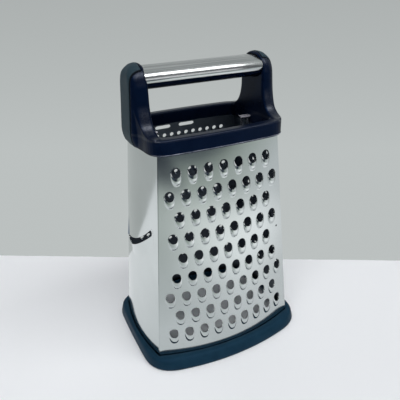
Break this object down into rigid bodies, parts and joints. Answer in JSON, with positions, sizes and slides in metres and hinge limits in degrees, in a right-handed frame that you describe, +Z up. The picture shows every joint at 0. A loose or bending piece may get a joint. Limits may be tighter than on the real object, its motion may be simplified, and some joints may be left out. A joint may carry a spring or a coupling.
{
  "type": "box grater",
  "caption": "Four-sided kitchen grater: tapered steel panels with shredding holes and a slicing slot, a rubber foot ring, and a dark collar with a steel-sleeved carrying handle.",
  "frame": {"origin": "middle of the foot ring's underside", "axes": "+Z up along the grater's height; -Y is the coarse shredding face; -X is the slicing face"},
  "size_m": [0.1442, 0.1212, 0.2322],
  "materials": {
    "panel_steel": "polished",
    "sleeve_steel": "satin, brushed along the bar",
    "fastener_steel": "plain",
    "dark_plastic": "fine moulded grain",
    "soft_cover": "soft matte",
    "foot_rubber": "matte"
  },
  "bodies": {
    "root": {"foot_ring": "foot_rubber", "front_panel": "panel_steel", "back_panel": "panel_steel", "left_panel": "panel_steel", "right_panel": "panel_steel", "collar": "dark_plastic", "left_post": "dark_plastic", "right_post": "dark_plastic", "left_cover": "soft_cover", "right_cover": "soft_cover", "handle_core": "dark_plastic", "handle_sleeve": "sleeve_steel", "left_screw": "fastener_steel", "right_screw": "fastener_steel", "left_clip": "fastener_steel", "right_clip": "fastener_steel"}
  },
  "joints": []
}
